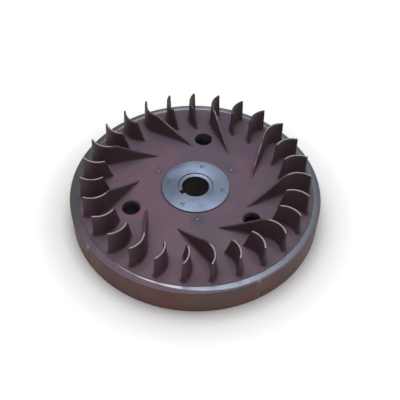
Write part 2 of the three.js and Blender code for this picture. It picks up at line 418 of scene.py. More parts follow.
def turning_marks_group():
    """Fine rings left by a lathe tool, round the Z axis, a little uneven in depth."""
    group, tree, given, out = shader_group(
        "turning_marks",
        {"Vector": ("vector", None), "Pitch": ("value", 0.0004)},
        {"Height": "value", "Streak": "value"})
    axes = tree.add("ShaderNodeSeparateXYZ", Vector=given["Vector"])
    square = tree.math("ADD", tree.math("POWER", axes.outputs["X"], 2.0),
                       tree.math("POWER", axes.outputs["Y"], 2.0))
    radius = tree.math("SQRT", square)
    along = tree.math("ADD", radius, tree.math("MULTIPLY", axes.outputs["Z"], 0.35))
    turn = tree.math("DIVIDE", along, given["Pitch"])
    ring = tree.math("SINE", tree.math("MULTIPLY", turn, 2 * math.pi))
    spread = tree.add("ShaderNodeCombineXYZ", X=tree.math("MULTIPLY", along, 2200.0), Y=0.0, Z=0.0)
    streak = tree.add("ShaderNodeTexNoise", Vector=spread.outputs[0], Scale=1.0, Detail=3.0)
    tree.feed(out["Height"], tree.math("ADD", tree.math("MULTIPLY", ring, 0.3),
                                       streak.outputs["Fac"]))
    tree.feed(out["Streak"], streak.outputs["Fac"])
    return group


def ragged_edge_group():
    """Breaks the edge of a mask up, as where paint has chipped or a cut ran through it."""
    group, tree, given, out = shader_group(
        "ragged_edge",
        {"Vector": ("vector", None), "Mask": ("value", 0.0), "Raggedness": ("value", 0.5),
         "Scale": ("value", 700.0)},
        {"Mask": "value"})
    noise = tree.add("ShaderNodeTexNoise", Vector=given["Vector"], Scale=given["Scale"], Detail=3.0)
    push = tree.math("MULTIPLY", tree.math("SUBTRACT", noise.outputs["Fac"], 0.5), given["Raggedness"])
    tree.feed(out["Mask"], tree.band(tree.math("ADD", given["Mask"], push), 0.35, 0.65))
    return group


CAST_SKIN = cast_skin_group()
COLOUR_DRIFT = colour_drift_group()
TURNING_MARKS = turning_marks_group()
RAGGED_EDGE = ragged_edge_group()


def start_material(name):
    material = bpy.data.materials.new(name)
    material.use_nodes = True
    tree = Tree(material.node_tree)
    shader = material.node_tree.nodes["Principled BSDF"]
    position = tree.add("ShaderNodeTexCoord").outputs["Object"]
    return material, tree, shader, position


def axis_parts(tree, position):
    """Radius and height of a point."""
    axes = tree.add("ShaderNodeSeparateXYZ", Vector=position)
    flat = tree.add("ShaderNodeCombineXYZ", X=axes.outputs["X"], Y=axes.outputs["Y"], Z=0.0)
    length = tree.add("ShaderNodeVectorMath", {"operation": "LENGTH"})
    tree.feed(length.inputs[0], flat.outputs[0])
    return length.outputs["Value"], axes.outputs["Z"]


def painted_iron(name, tones, bare_tones=None, bare=None, bare_shade_lean=(0, 0, 0), roughness=0.55,
                 mottle=0.15, drift_scale=18.0, lean=(0, 0, 0), bare_roughness=0.38, metallic=1.0,
                 anisotropy=0.0, ragged=0.5, bump_strength=0.5, marks_depth=0.06, second_coat=None,
                 chalk=None):
    """Primer on cast iron.

    bare(tree, position) gives the mask of the bare metal, where there is any; bare_shade_lean turns the
    metal towards its darker second tone on one side, as painted shade.
    second_coat is (tones, lean, where) of a second colour over part of the first one, used both for other
    paint and for painted shade.
    chalk(tree, position) gives the mask of marks dabbed on top.
    """
    material, tree, shader, position = start_material(name)
    skin = tree.group(CAST_SKIN, Vector=position)
    paint = tree.group(COLOUR_DRIFT, Vector=position, Tone=tones[0], Second_tone=tones[1],
                       Scale=drift_scale, Mottle=mottle, Lean=lean).outputs["Color"]
    if second_coat:
        second_tones, second_lean, where = second_coat
        second = tree.group(COLOUR_DRIFT, Vector=position, Tone=second_tones[0],
                            Second_tone=second_tones[1], Scale=drift_scale, Mottle=mottle,
                            Lean=second_lean).outputs["Color"]
        paint = tree.mix(where(tree, position), paint, second)
    gloss = tree.add("ShaderNodeTexNoise", Vector=position, Scale=35.0, Detail=3.0).outputs["Fac"]
    paint_roughness = tree.band(gloss, 0.3, 0.7, roughness - 0.08, roughness + 0.08)
    colour, rough, height = paint, paint_roughness, skin.outputs["Height"]
    shader.inputs["Specular IOR Level"].default_value = 0.3
    if bare:
        mask = tree.group(RAGGED_EDGE, Vector=position, Mask=bare(tree, position),
                          Raggedness=ragged).outputs["Mask"]
        marks = tree.group(TURNING_MARKS, Vector=position)
        metal = tree.group(COLOUR_DRIFT, Vector=position, Tone=bare_tones[0], Second_tone=bare_tones[1],
                           Scale=30.0, Mottle=0.08, Lean=bare_shade_lean).outputs["Color"]
        streak = tree.band(marks.outputs["Streak"], 0.3, 0.7,
                           bare_roughness - 0.05, bare_roughness + 0.06)
        colour = tree.mix(mask, paint, metal)
        rough = tree.blend(mask, paint_roughness, streak)
        height = tree.blend(mask, height, tree.math("MULTIPLY", marks.outputs["Height"], marks_depth))
        tree.feed(shader.inputs["Metallic"], tree.math("MULTIPLY", mask, metallic))
        shader.inputs["Anisotropic"].default_value = anisotropy
        if anisotropy:
            shader.inputs["Anisotropic Rotation"].default_value = 0.25
            around = tree.add("ShaderNodeTangent", {"direction_type": "RADIAL", "axis": "Z"})
            tree.feed(shader.inputs["Tangent"], around.outputs[0])
    if chalk:
        dab = tree.group(RAGGED_EDGE, Vector=position, Mask=chalk(tree, position), Raggedness=0.9,
                         Scale=900.0).outputs["Mask"]
        colour = tree.mix(tree.math("MULTIPLY", dab, CHALK_COVER), colour, CHALK_TONE)
    tree.feed(shader.inputs["Base Color"], colour)
    tree.feed(shader.inputs["Roughness"], rough)
    bump = tree.add("ShaderNodeBump", Strength=bump_strength, Distance=0.25 * MM, Height=height)
    tree.feed(shader.inputs["Normal"], bump.outputs[0])
    return material


def bare_metal(name, tone, roughness=0.4, pitch=0.4 * MM, metallic=1.0, bump_depth=0.02 * MM):
    """Turned or ground metal all over."""
    material, tree, shader, position = start_material(name)
    marks = tree.group(TURNING_MARKS, Vector=position, Pitch=pitch)
    colour = tree.group(COLOUR_DRIFT, Vector=position, Tone=tone,
                        Second_tone=tuple(c * 0.75 for c in tone[:3]) + (1,), Scale=40.0, Mottle=0.1)
    tree.feed(shader.inputs["Base Color"], colour.outputs["Color"])
    tree.feed(shader.inputs["Roughness"],
              tree.band(marks.outputs["Streak"], 0.3, 0.7, roughness - 0.06, roughness + 0.08))
    shader.inputs["Metallic"].default_value = metallic
    bump = tree.add("ShaderNodeBump", Strength=0.5, Distance=bump_depth, Height=marks.outputs["Height"])
    tree.feed(shader.inputs["Normal"], bump.outputs[0])
    return material


def grained(name, tone, second_tone, roughness=0.7, grain=900.0):
    """A dull surface with a fine grain, such as ferrite or chalky paint."""
    material, tree, shader, position = start_material(name)
    skin = tree.group(CAST_SKIN, Vector=position, Grain=grain)
    colour = tree.group(COLOUR_DRIFT, Vector=position, Tone=tone, Second_tone=second_tone, Scale=90.0)
    tree.feed(shader.inputs["Base Color"], colour.outputs["Color"])
    tree.feed(shader.inputs["Roughness"],
              tree.band(skin.outputs["Height"], 0.3, 1.0, roughness - 0.1, roughness))
    bump = tree.add("ShaderNodeBump", Strength=0.4, Distance=0.1 * MM, Height=skin.outputs["Height"])
    tree.feed(shader.inputs["Normal"], bump.outputs[0])
    return material


# Where the casting is bare, worn or dirty, and where light and shade are painted into its colour

ARC_EDGE_DIM_ANGLE = 90             # where most of the pale wear and painted highlight is left off the vanes' curved top edges
TAIL_EDGE_LIT_ANGLE = 65          # where the tails' top edges are palest, both rubbed and carrying a painted highlight
FOOT_HIGHLIGHT_ANGLE = -165              # where a painted highlight lightens the corners at the vanes' feet
FOOT_HIGHLIGHT = 0.32
# painted shade on the web, in the corner by the hub on one side
HUB_SHADE_REACH = 2.4 * MM
HUB_SHADE_ANGLE = -150
EDGE_SHADE_ANGLE = 178          # where painted shade darkens the web along the ring
EDGE_SHADE_WIDTH = 4 * MM
EDGE_SHADE_COVER = 0.6
# a darker patch round each pip
PIP_PATCH_REACH = 7.5 * MM
PIP_PATCH_COVER = 0.55
CLEAN_ANGLE = 8                 # where the ring has the least overspray
CLEAN_WIDTH = 4.4 * MM
CLEAN_SWING = 5.4 * MM
CLEAN_MOST = 5.3 * MM
WORN_ANGLE = 75                 # where the ring is bare out to its edge
WORN_EXTRA = 2.6 * MM
CHALK_HALF_WIDTH = 1.9 * MM
CHALK_COVER = 0.55
CHALK_TONE = (0.30, 0.26, 0.22, 1)


def cosine_to(tree, position, angle):
    """Cosine of the angle about Z between a point and a direction (degrees)."""
    turn = math.radians(angle)
    flat = tree.add("ShaderNodeVectorMath", {"operation": "MULTIPLY"})
    tree.feed(flat.inputs[0], position)
    flat.inputs[1].default_value = (1, 1, 0)
    unit = tree.add("ShaderNodeVectorMath", {"operation": "NORMALIZE"})
    tree.feed(unit.inputs[0], flat.outputs[0])
    dot = tree.add("ShaderNodeVectorMath", {"operation": "DOT_PRODUCT"})
    tree.feed(dot.inputs[0], unit.outputs[0])
    dot.inputs[1].default_value = (math.cos(turn), math.sin(turn), 0)
    return dot.outputs["Value"]


def on_ring(tree, position):
    """The turned ring, above the painted side."""
    _, height = axis_parts(tree, position)
    return tree.band(height, RIM_EDGE - 0.1 * MM, RIM_EDGE + 0.2 * MM)


def bare_on_rim(tree, position):
    """The turned ring, which primer overspray covers from its outer edge inwards."""
    radius, _ = axis_parts(tree, position)
    cosine = cosine_to(tree, position, CLEAN_ANGLE)
    width = tree.math("ADD", CLEAN_WIDTH, tree.math("MULTIPLY", cosine, CLEAN_SWING))
    worn = tree.band(cosine_to(tree, position, WORN_ANGLE), 0.0, 0.6, 0.0, WORN_EXTRA)
    width = tree.math("MINIMUM", width, tree.math("ADD", worn, CLEAN_MOST))
    inward = tree.math("SUBTRACT", RIM_RADIUS - RING_WIDTH, radius)
    clean = tree.band(tree.math("ADD", inward, width), -0.8 * MM, 1.0 * MM)
    return tree.math("MULTIPLY", on_ring(tree, position), clean)


def chalk_on_rim(tree, position):
    """Dabs of chalk over the timing grooves, worn away towards the rear and off the ring."""
    radius, height = axis_parts(tree, position)
    rise = tree.band(height, 0.4 * RIM_EDGE, RIM_EDGE)
    outer = tree.band(radius, RIM_RADIUS - 4 * MM, RIM_RADIUS - MM)
    dabs = 0.0
    for angle in GROOVE_ANGLES:
        near = math.cos(CHALK_HALF_WIDTH / RIM_RADIUS)
        dab = tree.band(cosine_to(tree, position, angle), near - 0.00015, near + 0.00012)
        dabs = tree.math("ADD", dab, dabs)
    return tree.math("MULTIPLY", tree.math("MULTIPLY", dabs, rise), outer)


def counterbore_corner_shade(tree, radius):
    """Painted shade: a dark line where the counterbore's wall meets its floor."""
    inner = tree.band(radius, COUNTERBORE_RADIUS - 0.7 * MM, COUNTERBORE_RADIUS - 0.2 * MM)
    outer = tree.band(radius, COUNTERBORE_RADIUS + 0.1 * MM, COUNTERBORE_RADIUS + 0.5 * MM, 1.0, 0.0)
    return tree.math("MULTIPLY", inner, outer)


def bare_on_hub(tree, position):
    """The turned front face and the floor of the counterbore."""
    radius, height = axis_parts(tree, position)
    face = tree.band(height, HUB_FACE - 0.45 * MM, HUB_FACE - 0.2 * MM)
    floor = HUB_FACE - COUNTERBORE_DEPTH
    above = tree.band(height, floor - 0.5 * MM, floor - 0.2 * MM)
    within = tree.band(radius, COUNTERBORE_RADIUS + 0.2 * MM, COUNTERBORE_RADIUS + 0.6 * MM, 1.0, 0.0)
    inside = tree.math("MULTIPLY", above, within)
    # painted shade: the dark bore tone shows in the counterbore's corner
    clean = tree.math("SUBTRACT", 1.0, tree.math("MULTIPLY", counterbore_corner_shade(tree, radius), 0.7))
    return tree.math("MULTIPLY", tree.math("MAXIMUM", face, inside), clean)


def bore_shade(tree, position):
    """The bore's wall, painted near-black as its shade."""
    radius, _ = axis_parts(tree, position)
    return tree.band(radius, COUNTERBORE_RADIUS + 0.4 * MM, COUNTERBORE_RADIUS + 0.8 * MM, 1.0, 0.0)


def shade_and_patches_on_web(tree, position):
    """Painted shade in the corner by the hub and along the ring, each on one side, and a darker patch round
    each pip.
    """
    radius, _ = axis_parts(tree, position)
    side = tree.band(cosine_to(tree, position, HUB_SHADE_ANGLE), -0.8, 0.6, 0.2, 0.9)
    corner = tree.band(radius, HUB_RADIUS + 0.4 * MM, HUB_RADIUS + HUB_SHADE_REACH, 1.0, 0.0)
    darkening = tree.math("MULTIPLY", corner, side)
    core = 0.3 * PIP_PATCH_REACH
    inner = tree.band(radius, PIP_CIRCLE - PIP_PATCH_REACH, PIP_CIRCLE - core)
    outer = tree.band(radius, PIP_CIRCLE + core, PIP_CIRCLE + PIP_PATCH_REACH, 1.0, 0.0)
    beside = tree.math("MULTIPLY", inner, outer)
    across = PIP_PATCH_REACH / PIP_CIRCLE
    for i in range(HOLE_COUNT):
        near = tree.band(cosine_to(tree, position, PIP_ANGLE + i * 360 / HOLE_COUNT),
                         math.cos(1.3 * across), math.cos(0.3 * across), 0.0, PIP_PATCH_COVER)
        darkening = tree.math("MAXIMUM", darkening, tree.math("MULTIPLY", near, beside))
    edge = tree.band(radius, WEB_RADIUS - EDGE_SHADE_WIDTH, WEB_RADIUS)
    left = tree.band(cosine_to(tree, position, EDGE_SHADE_ANGLE), 0.5, 0.9, 0.0, EDGE_SHADE_COVER)
    return tree.math("MAXIMUM", darkening, tree.math("MULTIPLY", edge, left))


def pip_tops_worn_and_highlit(tree, position):
    """The pale tops of the pips, rubbed and carrying a painted highlight."""
    _, height = axis_parts(tree, position)
    return tree.band(height, CROWN_TOP + 0.5 * PIP_HEIGHT, CROWN_TOP + 0.9 * PIP_HEIGHT)


def vane_wear_and_highlights(tree, position):
    """The pale top edge, marked on the mesh, both rubbed and carrying a painted highlight that changes
    round the wheel, and the feet of the vanes on one side, lightened as a painted highlight.
    """
    edge = tree.add("ShaderNodeAttribute", {"attribute_name": "top_edge"}).outputs["Fac"]
    wear = tree.add("ShaderNodeTexNoise", Vector=position, Scale=120.0, Detail=2.0).outputs["Fac"]
    top = tree.math("MULTIPLY", edge, tree.band(wear, 0.3, 0.6, 0.6, 1.0))
    radius, _ = axis_parts(tree, position)
    outer = tree.band(radius, 0.77 * TIP_RADIUS, 0.84 * TIP_RADIUS)
    # painted highlight on the top edges: dimmed on the arcs on one side, strongest on the tails on another
    arc_dimmed = tree.band(cosine_to(tree, position, ARC_EDGE_DIM_ANGLE), 0.5, 0.85, 0.0, 0.8)
    tail_dimmed = tree.band(cosine_to(tree, position, TAIL_EDGE_LIT_ANGLE), 0.1, 0.7, 0.85, 0.45)
    dimmed = tree.blend(outer, tail_dimmed, arc_dimmed)
    top = tree.math("MULTIPLY", top, tree.math("SUBTRACT", 1.0, dimmed))
    # painted highlight on the vanes' feet on one side
    foot = tree.band(vane_root(tree, position), 0.68, 0.86)
    side = tree.band(cosine_to(tree, position, FOOT_HIGHLIGHT_ANGLE), 0.3, 0.8, 0.0, FOOT_HIGHLIGHT)
    lit_foot = tree.math("MULTIPLY", foot, tree.math("MULTIPLY", side, outer))
    return tree.math("MAXIMUM", top, lit_foot)


def vane_root(tree, position):
    """The foot of a vane, where the web's colour runs up its fillet in place of the vanes' darker tone,
    which is painted shade, marked on the mesh.
    """
    return tree.add("ShaderNodeAttribute", {"attribute_name": "root"}).outputs["Fac"]


WEB_TONES = ((0.150, 0.089, 0.124, 1), (0.114, 0.085, 0.116, 1))
WEB_DRIFT = 22.0
WEB_LEAN = (0.6, 0.9, 0)
# the vanes' paint is a darker copy of the web's paint, as painted shade on their faces
VANE_SHADED_TONES = ((0.098, 0.058, 0.071, 1), (0.084, 0.060, 0.065, 1))
RIM_TONES = ((0.168, 0.072, 0.062, 1), (0.130, 0.083, 0.070, 1))
# overspray on the ring: lilac, and a darker grey-green leaning to the left and back, partly its own tone
# and partly painted shade
OVERSPRAY_TONE_AND_SHADE = ((0.150, 0.105, 0.150, 1), (0.080, 0.084, 0.088, 1))
OVERSPRAY_SHADE_LEAN = (-3, 6, 0)
# near-black in the bore and keyway, as painted shade
BORE_SHADE_TONES = ((0.045, 0.043, 0.034, 1), (0.030, 0.030, 0.028, 1))
# darker tones for the web's painted shade and the patches round the pips
WEB_SHADE_TONES = ((0.070, 0.070, 0.105, 1), (0.060, 0.060, 0.085, 1))
# the hub's bare face is darker towards the left and front, as painted shade
HUB_TONE_AND_SHADE = ((0.246, 0.300, 0.415, 1), (0.172, 0.210, 0.292, 1))
HUB_SHADE_LEAN = (-7, -2, 0)
# the ring's bare metal is darker towards the right, as painted shade
RING_TONE_AND_SHADE = ((0.355, 0.34, 0.395, 1), (0.22, 0.25, 0.295, 1))
RING_SHADE_LEAN = (3.5, -0.6, 0)
# pale pip tops: rubbed paint with a painted highlight
PIP_WORN_AND_HIGHLIT_TONES = ((0.27, 0.25, 0.29, 1), (0.21, 0.20, 0.24, 1))
# pale vane edges and feet: rubbed paint with painted highlights
WORN_AND_HIGHLIT_TONES = ((0.42, 0.36, 0.40, 1), (0.34, 0.29, 0.33, 1))

materials = {
    "web_paint": painted_iron("web_paint", WEB_TONES, drift_scale=WEB_DRIFT, lean=WEB_LEAN,
                              bare_tones=PIP_WORN_AND_HIGHLIT_TONES, bare=pip_tops_worn_and_highlit, metallic=0.3,
                              second_coat=(WEB_SHADE_TONES, (0, 0, 0), shade_and_patches_on_web)),
    "rim_paint": painted_iron("rim_paint", RIM_TONES, bare_tones=RING_TONE_AND_SHADE, bare=bare_on_rim,
                              bare_shade_lean=RING_SHADE_LEAN, anisotropy=0.4, ragged=0.4, bare_roughness=0.45,
                              chalk=chalk_on_rim,
                              second_coat=(OVERSPRAY_TONE_AND_SHADE, OVERSPRAY_SHADE_LEAN, on_ring)),
    "hub_iron": painted_iron("hub_iron", WEB_TONES, bare_tones=HUB_TONE_AND_SHADE, bare=bare_on_hub,
                             bare_shade_lean=HUB_SHADE_LEAN, anisotropy=0.4, bare_roughness=0.42,
                             second_coat=(BORE_SHADE_TONES, (0, 0, 0), bore_shade)),
    "vane_paint": painted_iron("vane_paint", VANE_SHADED_TONES, drift_scale=WEB_DRIFT, lean=WEB_LEAN,
                               bare_tones=WORN_AND_HIGHLIT_TONES, bare=vane_wear_and_highlights, bare_roughness=0.5, metallic=0.2,
                               second_coat=(WEB_TONES, WEB_LEAN, vane_root)),
    "bore_shade_iron": bare_metal("bore_shade_iron", (0.035, 0.034, 0.028, 1), roughness=0.6, metallic=0.4),
    "punched": bare_metal("punched", (0.11, 0.13, 0.19, 1), roughness=0.6, metallic=0.6),
    "drilled": bare_metal("drilled", (0.40, 0.41, 0.43, 1), roughness=0.35),
    "chalk": grained("chalk", (0.25, 0.21, 0.17, 1), (0.17, 0.13, 0.11, 1)),
    "carrier_steel": bare_metal("carrier_steel", (0.30, 0.30, 0.32, 1), roughness=0.42),
    "keeper_stainless": bare_metal("keeper_stainless", (0.55, 0.56, 0.57, 1), roughness=0.3),
    "ferrite": grained("ferrite", (0.035, 0.035, 0.038, 1), (0.055, 0.052, 0.052, 1), roughness=0.6),
}


def give(piece, *names):
    for name in names:
        piece.data.materials.append(materials[name])
    return piece


def keep(piece, slot, *nodes):
    """Says what a finished piece rides on and replaces; the slot for its finish is not used."""
    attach(piece, BODY)
    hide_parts(*nodes)
    return piece


# ------------------------------------------------------------------ plan of the vanes and holes


def arc_point(angle):
    turn = math.radians(angle)
    centre_x = TIP_RADIUS - ARC_RADIUS * math.cos(math.radians(ARC_TIP_ANGLE))
    centre_y = -ARC_RADIUS * math.sin(math.radians(ARC_TIP_ANGLE))
    point = Vector((centre_x + ARC_RADIUS * math.cos(turn), centre_y + ARC_RADIUS * math.sin(turn)))
    return point, turn + math.pi / 2


def tail_point(distance):
    point, heading = arc_point(ARC_END_ANGLE)
    return point + distance * Vector((math.cos(heading), math.sin(heading))), heading


def hole_places():
    """Radius and angle of each through hole."""
    beside, _ = tail_point(HOLE_ALONG_TAIL)
    first = FIRST_VANE_ANGLE + math.degrees(math.atan2(beside.y, beside.x)) - HOLE_LAG
    return [(beside.length, first + i * 360 / HOLE_COUNT) for i in range(HOLE_COUNT)]


# ------------------------------------------------------------------ rim, web and hub


def make_rim():
    seat = RIM_RADIUS - RING_WIDTH - LIP_LEAN
    lip = RIM_RADIUS - RING_WIDTH
    ledge = web_top(CAVITY_RADIUS) - WEB_THICKNESS - 0.1 * MM
    rim = turned("rim_ring", softened([
        (RIM_RADIUS - RIM_DRAFT, 0, REAR_CHAMFER),
        (RIM_RADIUS, RIM_EDGE, 0.7 * MM),
        (lip + RING_LAND, RIM_LIP_TOP - RING_LAND_DROP, 0.8 * MM),
        (lip, RIM_LIP_TOP, 0.35 * MM),
        (seat, WEB_EDGE_TOP, 0),
        (seat, ledge, 0),
        (CAVITY_RADIUS, ledge, 0),
        (CAVITY_RADIUS, 0, REAR_CHAMFER),
    ], steps=6))
    give(rim, "rim_paint", "chalk", "drilled")

    tools = []
    half = GROOVE_WIDTH / 2
    for angle in GROOVE_ANGLES:
        shape = [(-half, -half), (half, -half), (half, half), (-half, half)]
        groove = prism("groove", shape, GROOVE_ENDS[0], RIM_EDGE - GROOVE_ENDS[1])
        middle = RIM_RADIUS - RIM_DRAFT / 2 - GROOVE_DEPTH + half
        tools.append(give(place(groove, polar(middle, angle)), "chalk"))
    circle = (RIM_RADIUS - RIM_DRAFT + CAVITY_RADIUS) / 2
    for angle in DRILLING_ANGLES:
        point = DRILLING_RADIUS * 0.55
        drill = spun("drill", [(0, -MM), (DRILLING_RADIUS, -MM), (DRILLING_RADIUS, DRILLING_DEPTH),
                               (0, DRILLING_DEPTH + point)])
        tools.append(give(place(drill, polar(circle, angle)), "drilled"))
    combine(rim, tools, "DIFFERENCE")
    return keep(rim, "rim_paint", "rim")


def make_web():
    inner = HUB_RADIUS
    bottom = CROWN_TOP - WEB_THICKNESS
    ledge = web_top(CAVITY_RADIUS) - WEB_THICKNESS
    start = WEB_RADIUS - WEB_CURL_WIDTH
    wide = 36
    front = []
    for i in range(wide + 1):
        radius = start + (inner + 1.2 * MM - start) * i / wide
        front.append((radius, web_top(radius)))
    edge = []
    for k in range(1, 7):
        radius = start + (WEB_CURL_WIDTH + WEB_CURL_REACH) * k / 6
        edge.append((radius, web_top(radius) + WEB_CURL * (k / 6) ** 2))
    outline = [(inner, bottom), (CROWN_RADIUS, bottom), (CAVITY_RADIUS, ledge), (WEB_RADIUS, ledge),
               (WEB_RADIUS, WEB_EDGE_TOP - 0.1 * MM)]
    outline += list(reversed(edge)) + front
    outline += [(inner + 0.5 * MM, CROWN_TOP - 0.05 * MM), (inner, CROWN_TOP - 0.35 * MM)]
    web = give(turned("web_disc", outline), "web_paint")

    pips, holes = [], []
    for i, (radius, angle) in enumerate(hole_places()):
        surface = web_top(radius)
        under = surface - WEB_THICKNESS
        hole = spun("hole", [
            (0, surface - 16 * MM),
            (HOLE_RADIUS + HOLE_FLARE, surface - 16 * MM),
            (HOLE_RADIUS + HOLE_FLARE, under - 0.7 * MM),
            (HOLE_RADIUS, under + 0.7 * MM),
            (HOLE_RADIUS, surface - HOLE_FLARE),
            (HOLE_RADIUS + 3 * MM, surface + 3 * MM - HOLE_FLARE),
            (0, surface + 3 * MM - HOLE_FLARE),
        ], segments=96)
        holes.append(give(place(hole, polar(radius, angle)), "web_paint"))
        dome = [(0, -MM), (PIP_RADIUS + 0.5 * MM, -MM), (PIP_RADIUS + 0.5 * MM, -0.1 * MM)]
        for k in range(6):
            turn = math.radians(15 * k)
            dome.append((PIP_RADIUS * math.cos(turn), PIP_HEIGHT * math.sin(turn)))
        pip = spun("pip", dome + [(0, PIP_HEIGHT)], segments=32)
        foot = polar(PIP_CIRCLE, PIP_ANGLE + i * 360 / HOLE_COUNT, web_top(PIP_CIRCLE))
        pips.append(give(place(pip, foot), "web_paint"))
    combine(web, pips, "UNION")
    combine(web, holes, "DIFFERENCE")
    return keep(web, "web_paint", "web")


def make_hub():
    floor = HUB_FACE - COUNTERBORE_DEPTH
    rear_bore = BORE_RADIUS + (HUB_FACE - HUB_REAR) * BORE_TAPER
    hub = turned("hub_boss", softened([
        (rear_bore, HUB_REAR, 0.5 * MM),
        (HUB_RADIUS - HUB_DRAFT, HUB_REAR, 0.9 * MM),
        (HUB_RADIUS, CROWN_TOP - WEB_THICKNESS, 0.5 * MM),
        (HUB_RADIUS, HUB_FACE, 0.45 * MM),
        (COUNTERBORE_RADIUS, HUB_FACE, 0.15 * MM),
        (COUNTERBORE_RADIUS, floor, 0.15 * MM),
        (BORE_RADIUS + COUNTERBORE_DEPTH * BORE_TAPER, floor, 0.5 * MM),
    ], steps=4), segments=256)
    give(hub, "hub_iron", "bore_shade_iron", "punched")

    slot = [(0, HUB_REAR - MM), (rear_bore + KEYWAY_DEPTH, HUB_REAR - MM),
            (BORE_RADIUS + KEYWAY_DEPTH, HUB_FACE + MM), (0, HUB_FACE + MM)]
    keyway = prism("keyway", slot, -KEYWAY_WIDTH / 2, KEYWAY_WIDTH / 2)
    upright = Matrix.Rotation(math.radians(90), 4, "X")
    tools = [give(place(keyway, polar(0, KEYWAY_ANGLE) @ upright), "bore_shade_iron")]
    for angle in PUNCH_ANGLES:
        for i in range(3):
            centre = polar(PUNCH_CIRCLE, angle, HUB_FACE) @ polar(PUNCH_SPREAD, 120 * i + 30)
            dot = spun("punch", [(0, -0.85 * PUNCH_RADIUS), (PUNCH_RADIUS, 0),
                                 (PUNCH_RADIUS + 0.4 * MM, 0.4 * MM), (0, 0.4 * MM)], segments=20)
            tools.append(give(place(dot, centre), "punched"))
    length, width, depth = SCRIBE_SIZE
    line = [(x * length / 2, y * width / 2) for x, y in ((-1, -1), (1, -1), (1, 1), (-1, 1))]
    scribe = prism("scribe", line, HUB_FACE - depth, HUB_FACE + MM)
    middle = COUNTERBORE_RADIUS + length / 2 + MM
    tools.append(give(place(scribe, polar(middle, SCRIBE_ANGLE)), "punched"))
    combine(hub, tools, "DIFFERENCE")
    return keep(hub, "machined_iron", "hub")


# ------------------------------------------------------------------ vanes


def vane_line(is_long):
    """Points along a vane from its outer tip: place, heading and the share of the height lost."""
    line = []
    arc_steps = 22
    for i in range(arc_steps + 1):
        angle = ARC_TIP_ANGLE + (ARC_END_ANGLE - ARC_TIP_ANGLE) * i / arc_steps
        line.append((*arc_point(angle), 0.0))
    length = TAIL_LENGTH if is_long else STUB_LENGTH
    level = LEVEL_TAIL if is_long else 0.0
    steps = 26 if is_long else 8
    for i in range(1, steps + 1):
        distance = length * i / steps
        fall = max(0.0, distance - level) / (length - level)
        line.append((*tail_point(distance), fall))
    return line


def vane_levels(foot, top):
    """Heights up one section of a vane, each with how far the side stands out past the plain wall."""
    height = top - foot
    fillet = min(ROOT_FILLET, 0.45 * height)
    edge = min(EDGE_ROUND, 0.2 * height)
    levels = [(-SKIRT, fillet)]
    for k in range(8):
        turn = math.radians(90 * k / 7)
        levels.append((fillet * (1 - math.cos(turn)), fillet * (1 - math.sin(turn))))
    for k in range(1, 5):
        levels.append((fillet + (height - edge - fillet) * k / 5, 0.0))
    for k in range(5):
        turn = math.radians(90 * k / 4)
        levels.append((height - edge * (1 - math.sin(turn)), -edge * (1 - math.cos(turn))))
    return levels


def vane_ring(line, level):
    """One closed ring round a vane in four runs: left side, far end, right side and near end."""
    corner_steps = 4

    def section(entry):
        """Foot and top of the vane at an entry, and its height, flare and half thickness at the level."""
        middle, _, fall = entry
        foot = web_top(middle.length)
        top = foot + RUN_OUT + (VANE_TOP - foot - RUN_OUT) * (1 - fall)
        height, flare = vane_levels(foot, top)[level]
        wall = (TOP_THICKNESS + (top - foot - max(0.0, height)) * VANE_DRAFT) / 2
        return foot, top, height, flare, wall

    def point(entry, along, across):
        """A point beside the line, along its heading and to the left of it."""
        middle, heading, _ = entry
        foot, top, height, _, _ = section(entry)
        x = middle.x + along * math.cos(heading) - across * math.sin(heading)
        y = middle.y + along * math.sin(heading) + across * math.cos(heading)
        under = web_top(math.hypot(x, y)) - foot
        share = 1.0 - min(1.0, max(0.0, height) / (top - foot))
        return (x, y, foot + height + under * share)

    def side(entry, sign):
        *_, flare, wall = section(entry)
        return point(entry, 0.0, sign * (wall + flare))

    def end(entry, forward):
        """The rounded corners across one end, from the left side to the right going forward."""
        *_, flare, wall = section(entry)
        corner = min(END_ROUND, wall * 0.8)
        reach = corner + flare
        points = []
        for sign, turns in ((1, range(corner_steps, -1, -1)), (-1, range(corner_steps + 1))):
            for k in turns:
                turn = math.radians(90 * k / corner_steps)
                along = forward * (reach * math.cos(turn) - corner + EDGE_ROUND)
                across = sign * (wall - corner + reach * math.sin(turn))
                points.append(point(entry, along, forward * across))
        return points

    left = [side(entry, 1) for entry in line]
    right = [side(entry, -1) for entry in line]
    return left, end(line[-1], 1), right, end(line[0], -1)


